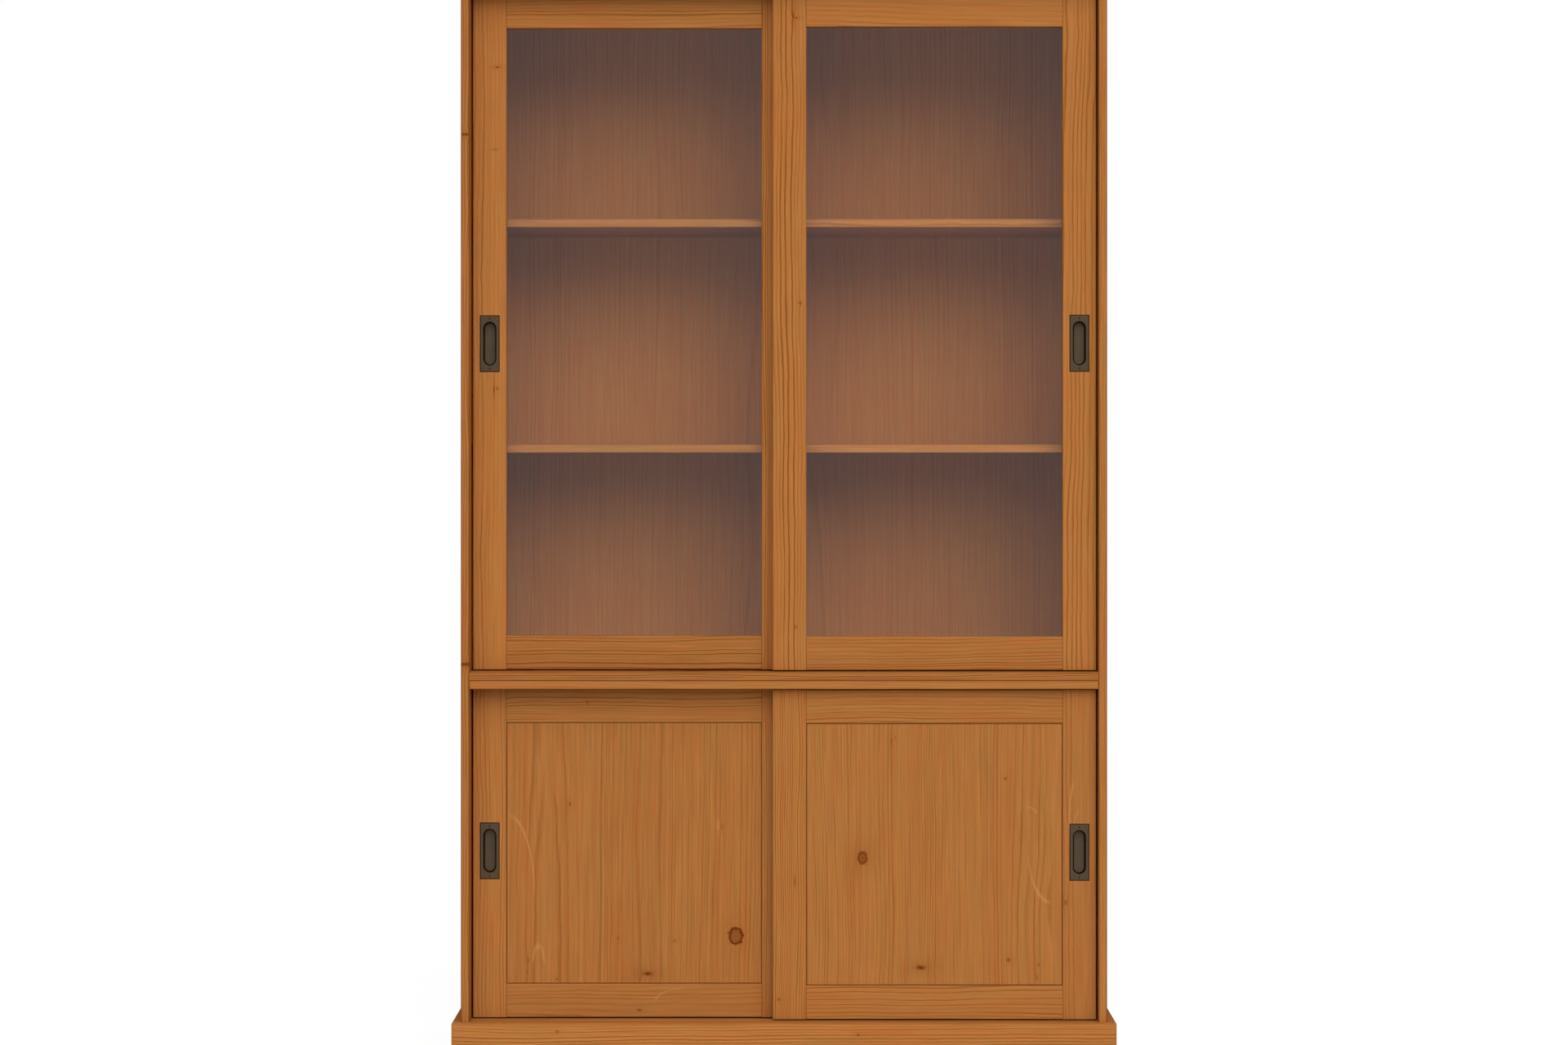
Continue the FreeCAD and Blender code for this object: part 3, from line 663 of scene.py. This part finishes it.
# ---- Glass, metal and nylon -------------------------------------------------
class BOOKCASE_OT_glass(bpy.types.Operator):
    """Glazes the upper doors"""
    bl_idname = "bookcase.glass"
    bl_label = "Glaze the upper doors"

    def execute(self, context):
        settings = context.scene.bookcase_glass
        finish = Finish("Clear glass")
        x, y, z = finish.place()
        waves = finish.noise(x * 5, y, z * 3 + 4.0, 1.0)
        pane = finish.shader(Base_Color=settings.tint, Roughness=0.0, IOR=settings.bend,
                             Transmission_Weight=1.0, Specular_Tint=settings.bloom,
                             Normal=finish.bump(0.05, 0.001, waves))
        # Light on its way to other pieces passes as if no pane were there.
        open_air = finish.add("ShaderNodeBsdfTransparent", {}, {"Color": settings.tint})
        surface = finish.add("ShaderNodeMixShader", {},
                             [finish.rays("Shadow", "Diffuse"), pane, open_air])
        dress([n for n in NODES if n.endswith("_glass")], finish.finished(surface))
        return {"FINISHED"}


class BOOKCASE_OT_running_gear(bpy.types.Operator):
    """Finishes the wheels, brackets and guides"""
    bl_idname = "bookcase.running_gear"
    bl_label = "Finish the running gear"

    def execute(self, context):
        nylon = Finish("Nylon")
        x, y, z = nylon.place()
        mottle = nylon.noise(x * 300, y * 300, z * 300) - 0.5
        grease = nylon.noise(x * 60, y * 60, z * 60) - 0.5
        tone = nylon.blend((grease + 0.5).step(0.5, 0.8) * 0.35, linear(42, 38, 34),
                           linear(74, 66, 56))
        surface = nylon.shader(Base_Color=tone, Roughness=0.45 + mottle * 0.2,
                               Normal=nylon.bump(0.2, 0.0002, mottle))
        dress([n for n in NODES if n.endswith(("_wheel", "_top_guides"))],
              nylon.finished(surface))

        steel = Finish("Zinc plated steel")
        x, y, z = steel.place()
        rolled = steel.noise(x * 90, y * 2600, z * 2600) - 0.5
        bloom = steel.noise(x * 120, y * 120, z * 120) - 0.5
        tone = steel.blend(bloom.step(-0.2, 0.3), linear(176, 178, 180),
                           linear(206, 205, 198))
        surface = steel.shader(Base_Color=tone, Metallic=1.0, Roughness=0.34 + bloom * 0.2,
                               Normal=steel.bump(0.25, 0.0001, rolled))
        dress([n for n in NODES if n.endswith("_roller_brackets")], steel.finished(surface))
        return {"FINISHED"}


FLAT = 1e-7     # a point this near to a plane lies in it
NEAR = 1e-5     # a point this near to a line drawn on a shape lies on it


def placed(name, shape, material):
    """Turns a bmesh into an object of the scene."""
    mesh = bpy.data.meshes.new(name)
    shape.to_mesh(mesh)
    shape.free()
    mesh.materials.append(material)
    thing = bpy.data.objects.new(name, mesh)
    bpy.context.scene.collection.objects.link(thing)
    return thing


def solid(name, body, shape, material, replaced=()):
    """Turns a bmesh into a piece that rides on a body."""
    piece = placed(name, shape, material)
    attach(piece, body)
    if replaced:
        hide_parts(*replaced)
    return piece


def long_circle(shape, width, height, segments):
    """A round-ended loop of edges in the plane Z = 0, drawn round the origin."""
    made = bmesh.ops.create_circle(shape, segments=segments, radius=width / 2)["verts"]
    bmesh.ops.rotate(shape, verts=made, cent=(0, 0, 0),
                     matrix=Matrix.Rotation(math.pi / segments, 3, "Z"))
    for side in (1, -1):
        half = [v for v in made if v.co.y * side > 0]
        bmesh.ops.translate(shape, verts=half, vec=(0, side * (height - width) / 2, 0))
    return list({e for v in made for e in v.link_edges})


def moved_copy(shape, edges, down, shrink=0.0):
    """Extrudes a loop of edges down and draws it in, and returns the new loop."""
    made = bmesh.ops.extrude_edge_only(shape, edges=edges)["geom"]
    verts = [g for g in made if isinstance(g, bmesh.types.BMVert)]
    bmesh.ops.translate(shape, verts=verts, vec=(0, 0, -down))
    if shrink:
        widest = max(abs(v.co.x) for v in verts)
        tallest = max(abs(v.co.y) for v in verts)
        bmesh.ops.scale(shape, verts=verts,
                        vec=(1 - shrink / widest, 1 - shrink / tallest, 1))
    return [g for g in made if isinstance(g, bmesh.types.BMEdge)
            and all(v in verts for v in g.verts)]


def upright(point, quarter=1):
    """Moves a shape drawn face up to a point and turns its face to the front."""
    return Matrix.Translation(point) @ Matrix.Rotation(quarter * math.pi / 2, 4, "X")


def round_off(shape, geom, radius, segments, affect="EDGES"):
    """Rounds edges, or the corners of a flat outline."""
    bmesh.ops.bevel(shape, geom=geom, offset=radius, segments=segments, affect=affect,
                    profile=0.5, material=-1)


def brinks(shape, kept):
    """Edges in the plane Z = 0 where a wall goes down, kept at both of their ends."""
    return [e for e in shape.edges
            if all(abs(v.co.z) < FLAT and kept(v.co) for v in e.verts)
            and any(abs(f.calc_center_median().z) > NEAR for f in e.link_faces)]


def paint(shape, shade):
    """Stores how dark the patina is on every point of a shape."""
    layer = shape.verts.layers.float.new("patina")
    for vert in shape.verts:
        vert[layer] = shade(vert.co)


def bronze():
    """Dark bronzed metal, darker where the patina lies thick."""
    settings = bpy.context.scene.bookcase_pulls
    finish = Finish("Dark bronze")
    x, y, z = finish.place()
    cast = finish.noise(x * 420, y * 420, z * 420, 3.0) - 0.5
    patch = finish.noise(x * 70 + 3, y * 70, z * 55, 3.0) - 0.5
    patina = finish.add("ShaderNodeAttribute", {"attribute_name": "patina"}, output=2)
    tone = finish.blend((patch * 1.4 + 0.45).least(1.0).most(0.0), settings.plate,
                        tuple(c * 0.80 for c in settings.plate))
    tone = finish.blend((cast * 0.6 + patch).step(0.12, 0.4) * 0.18, tone,
                        linear(112, 94, 72))
    tone = finish.blend(patina, tone, settings.recess)
    surface = finish.shader(Base_Color=tone, Metallic=0.15, Roughness=0.5 + cast * 0.2,
                            Specular_IOR_Level=0.12,
                            Normal=finish.bump(0.3, 0.0003, cast + patch * 0.5))
    return finish.finished(surface)


class BOOKCASE_OT_pulls(bpy.types.Operator):
    """Models the four flush pulls"""
    bl_idname = "bookcase.pulls"
    bl_label = "Make the flush pulls"

    def execute(self, context):
        settings = context.scene.bookcase_pulls
        material = bronze()
        dress([door + "_pull" for door in DOORS], material)
        for door in DOORS:
            low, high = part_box(door + "_pull")
            middle = Vector(((low.x + high.x) / 2, low.y, (low.z + high.z) / 2))
            shape = self.pressing(settings, high.x - low.x, high.z - low.z)
            paint(shape, lambda point: self.patina(settings, point))
            bmesh.ops.transform(shape, verts=shape.verts, matrix=upright(middle))
            bmesh.ops.recalc_face_normals(shape, faces=shape.faces)
            solid(door + "_flush_pull", door, shape, material,
                  [door + "_pull"])
        return {"FINISHED"}

    @staticmethod
    def patina(settings, point):
        """Thick on the pocket's wall and on the plate's edge, where it is painted shade, thin on
        the plate's face.
        """
        thin, bare, fade = 0.15, 0.0001, 0.0003     # the last two are depths down the edge
        depth = -point.z
        if (abs(point.x) < settings.pocket_width / 2 + NEAR
                and abs(point.y) < settings.pocket_height / 2 + NEAR):
            above_floor = settings.pocket_depth - depth
            wall = min((depth - settings.lip * 0.9) / (settings.lip * 0.3),
                       above_floor / (settings.foot * 0.24))
            return max(thin if depth < above_floor else 0.0, min(1.0, wall))
        # The plate's turned-back edge: painted shade, the shadow line round the plate.
        return max(thin, min(1.0, (depth - bare) / fade))

    @staticmethod
    def pressing(settings, width, height):
        """Plate, turned-back edge and pocket, lying face up with its face at Z = 0."""
        shape = bmesh.new()
        mouth = long_circle(shape, settings.pocket_width, settings.pocket_height, 48)
        corners = bmesh.ops.create_grid(shape, x_segments=1, y_segments=1, size=0.5)["verts"]
        bmesh.ops.scale(shape, verts=corners, vec=(width, height, 1))
        round_off(shape, corners, settings.corner, 4, "VERTICES")
        outline = [e for f in shape.faces for e in f.edges]
        bmesh.ops.delete(shape, geom=list(shape.faces), context="FACES_ONLY")
        bmesh.ops.bridge_loops(shape, edges=mouth + outline)
        moved_copy(shape, outline, settings.skirt)
        foot = moved_copy(shape, mouth, settings.pocket_depth, settings.draft)
        bmesh.ops.edgeloop_fill(shape, edges=foot)
        round_off(shape, foot, settings.foot, 4)
        lip = settings.pocket_height / 2 + NEAR
        round_off(shape, brinks(shape, lambda p: abs(p.y) < lip), settings.lip, 3)
        side, end = (extent / 2 - settings.corner - NEAR for extent in (width, height))
        round_off(shape, brinks(shape, lambda p: abs(p.x) > side or abs(p.y) > end),
                  settings.edge, 2)
        bmesh.ops.recalc_face_normals(shape, faces=shape.faces)
        bmesh.ops.solidify(shape, geom=list(shape.faces), thickness=settings.sheet)
        return shape


class BOOKCASE_OT_pull_screws(bpy.types.Operator):
    """Drives two small screws into each pull"""
    bl_idname = "bookcase.pull_screws"
    bl_label = "Drive the pulls' screws"

    def execute(self, context):
        settings = context.scene.bookcase_pulls
        material = NODES[DOORS[0] + "_pull"].material_slots[0].material
        head = bpy.data.meshes.new("Screw head")
        for door in DOORS:
            low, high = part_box(door + "_pull")
            shape = bmesh.new()
            ends = (high.z - low.z - settings.pocket_height) / 4
            # The slots have come to rest at two different angles.
            for height, turn in ((low.z + ends, 0.6), (high.z - ends, 1.9)):
                middle = Vector(((low.x + high.x) / 2, low.y, height))
                one = screw_head(settings.screw)
                bmesh.ops.transform(one, verts=one.verts,
                                    matrix=upright(middle) @ Matrix.Rotation(turn, 4, "Z"))
                one.to_mesh(head)
                one.free()
                shape.from_mesh(head)
            solid(door + "_pull_screws", door, shape, material)
        bpy.data.meshes.remove(head)
        return {"FINISHED"}


def screw_head(radius):
    """A low domed head with a straight slot, lying face up on the plane Z = 0."""
    shape = bmesh.new()
    # Outline from the crown to the underside, in radii.
    rows = [(0.0, 0.25), (0.45, 0.22), (0.85, 0.10), (1.0, -0.05), (0.9, -0.35), (0.0, -0.40)]
    verts = [shape.verts.new((x * radius, 0, z * radius)) for x, z in rows]
    edges = [shape.edges.new(pair) for pair in zip(verts, verts[1:])]
    bmesh.ops.spin(shape, geom=verts + edges, cent=(0, 0, 0), axis=(0, 0, 1),
                   angle=2 * math.pi, steps=16, use_merge=True)
    bmesh.ops.remove_doubles(shape, verts=shape.verts, dist=1e-7)
    half_slot, slot_depth = radius * 0.2, radius * 0.22
    for side in (-1, 1):
        bmesh.ops.bisect_plane(shape, geom=[*shape.verts, *shape.edges, *shape.faces],
                               dist=1e-8, plane_co=(side * half_slot, 0, 0),
                               plane_no=(1, 0, 0))
    slot = [f for f in shape.faces if abs(f.calc_center_median().x) < half_slot
            and f.calc_center_median().z > 0]
    sunk = bmesh.ops.extrude_face_region(shape, geom=slot)["geom"]
    down = [g for g in sunk if isinstance(g, bmesh.types.BMVert)]
    bmesh.ops.delete(shape, geom=slot, context="FACES_ONLY")
    bmesh.ops.translate(shape, verts=down, vec=(0, 0, -slot_depth))
    bmesh.ops.recalc_face_normals(shape, faces=shape.faces)
    paint(shape, lambda point: 1.0 if abs(point.x) < half_slot + NEAR else 0.5)
    return shape


class BOOKCASE_OT_nails(bpy.types.Operator):
    """Nails the back sheet round its edges"""
    bl_idname = "bookcase.nails"
    bl_label = "Nail the back"

    def execute(self, context):
        settings = context.scene.bookcase_fixings
        low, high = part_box("back_panel")
        side, ends = 0.005, 0.03            # the upright rows' distances from the edges
        foot, top, corner = 0.008, 0.004, 0.04      # and those of the level rows
        places = []
        for x in (low.x + side, high.x - side):
            places += [(x, z) for z in self.along(low.z + ends, high.z - ends,
                                                  settings.pitch)]
        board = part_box("mid_board")
        for z in (low.z + foot, (board[0].z + board[1].z) / 2, high.z - top):
            places += [(x, z) for x in self.along(low.x + corner, high.x - corner,
                                                  settings.pitch)]
        shape = bmesh.new()
        for x, z in places:
            verts = bmesh.ops.create_cone(shape, cap_ends=True, cap_tris=False, segments=10,
                                          radius1=settings.head, radius2=settings.head * 0.7,
                                          depth=settings.thick)["verts"]
            bmesh.ops.transform(shape, verts=verts, matrix=upright((x, high.y, z), -1))
        finish = Finish("Bright nails")
        x, y, z = finish.place()
        rust = finish.noise(x * 400, y * 400, z * 400) - 0.5
        tone = finish.blend((rust * 2).step(0.0, 0.6), linear(150, 148, 144),
                            linear(112, 92, 74))
        surface = finish.shader(Base_Color=tone, Metallic=0.8, Roughness=0.4 + rust * 0.3)
        solid("back_nails", "carcass", shape, finish.finished(surface))
        return {"FINISHED"}

    @staticmethod
    def along(start, end, pitch):
        """Evenly spaced places from start to end."""
        count = max(1, round((end - start) / pitch))
        return [start + (end - start) * n / count for n in range(count + 1)]


# ---- Stage ------------------------------------------------------------------
class BOOKCASE_OT_stage(bpy.types.Operator):
    """Sets up the camera, the lamps, the floor and the plain pale surroundings"""
    bl_idname = "bookcase.stage"
    bl_label = "Set the stage"

    def execute(self, context):
        settings = context.scene.bookcase_stage
        scene = context.scene
        scene.view_settings.view_transform = "Standard"
        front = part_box("side_panel_left")[0].y

        camera = bpy.data.cameras.new("Camera")
        camera.lens = settings.lens
        camera.sensor_width = 36
        camera.shift_y = settings.rise
        camera.clip_end = 60
        eye = bpy.data.objects.new("Camera", camera)
        eye.location = (0, front - settings.distance, settings.eye)
        eye.rotation_euler = (math.pi / 2, 0, 0)
        scene.collection.objects.link(eye)
        scene.camera = eye

        lamps = (("Left lamp", -settings.turn, 1 - settings.right),
                 ("Right lamp", settings.turn, settings.right))
        for name, turn, part in lamps:
            lamp = bpy.data.lights.new(name, "SUN")
            lamp.energy = settings.sun * part
            lamp.angle = settings.spread
            soft = bpy.data.objects.new(name, lamp)
            soft.rotation_euler = (math.pi / 2 - settings.height, 0, turn)
            soft.visible_glossy = False
            soft.visible_transmission = False
            scene.collection.objects.link(soft)

        scene.world = bpy.data.worlds.new("Pale room")
        room = Finish("Pale room", scene.world)
        even = room.add("ShaderNodeBackground", {}, {"Color": (1, 1, 1),
                                                     "Strength": settings.fill})
        white = room.add("ShaderNodeBackground", {}, {"Color": (1, 1, 1), "Strength": 1.0})
        room.finished(room.add("ShaderNodeMixShader", {},
                               [room.rays("Camera", "Transmission"), even, white]))

        self.floor(settings)
        return {"FINISHED"}

    @staticmethod
    def floor(settings):
        """A wide plain floor that keeps the bookcase's shadow."""
        reach = 15      # metres to the floor's edge
        finish = Finish("Pale floor")
        x, y, z = finish.place()
        cloud = finish.noise(x * 0.8, y * 0.8, z, 2.0) - 0.5
        level = 1.0 + cloud * 0.02
        tone = finish.blend(1.0, settings.floor, finish.vector(level, level, level),
                            "MULTIPLY")
        matt = finish.add("ShaderNodeBsdfDiffuse", {}, {"Color": tone})
        glow = finish.add("ShaderNodeEmission", {}, {"Color": (1, 1, 1),
                                                     "Strength": settings.glow})
        seen = finish.rays("Camera", "Transmission") * (1 - settings.floor_show)
        surface = finish.add("ShaderNodeMixShader", {}, [seen, matt, glow])
        shape = bmesh.new()
        bmesh.ops.create_grid(shape, x_segments=1, y_segments=1, size=reach)
        ground = placed("Floor", shape, finish.finished(surface))


# ---- Sidebar and registration -----------------------------------------------
OPERATORS = (BOOKCASE_OT_stage, BOOKCASE_OT_carcass, BOOKCASE_OT_back, BOOKCASE_OT_frames,
             BOOKCASE_OT_panels, BOOKCASE_OT_glass, BOOKCASE_OT_running_gear,
             BOOKCASE_OT_pulls, BOOKCASE_OT_pull_screws, BOOKCASE_OT_nails)
SETTINGS = {"bookcase_pine": PineSettings, "bookcase_pulls": PullSettings,
            "bookcase_fixings": FixingSettings, "bookcase_glass": GlassSettings,
            "bookcase_stage": StageSettings}


class BOOKCASE_PT_sidebar(bpy.types.Panel):
    """Lists the steps that dress the bookcase"""
    bl_idname = "BOOKCASE_PT_sidebar"
    bl_label = "Bookcase"
    bl_space_type = "VIEW_3D"
    bl_region_type = "UI"
    bl_category = "Bookcase"

    def draw(self, context):
        for operator in OPERATORS:
            self.layout.operator(operator.bl_idname)
        for name, group in SETTINGS.items():
            box = self.layout.box()
            for key in group.__annotations__:
                box.prop(getattr(context.scene, name), key)


def register():
    for group in (*SETTINGS.values(), *OPERATORS, BOOKCASE_PT_sidebar):
        bpy.utils.register_class(group)
    for name, group in SETTINGS.items():
        setattr(bpy.types.Scene, name, PointerProperty(type=group))


def unregister():
    for name in SETTINGS:
        delattr(bpy.types.Scene, name)
    for group in reversed((*SETTINGS.values(), *OPERATORS, BOOKCASE_PT_sidebar)):
        bpy.utils.unregister_class(group)


def main():
    """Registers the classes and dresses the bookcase."""
    register()
    for operator in OPERATORS:
        family, name = operator.bl_idname.split(".")
        getattr(getattr(bpy.ops, family), name)()


if __name__ == "__main__":
    main()
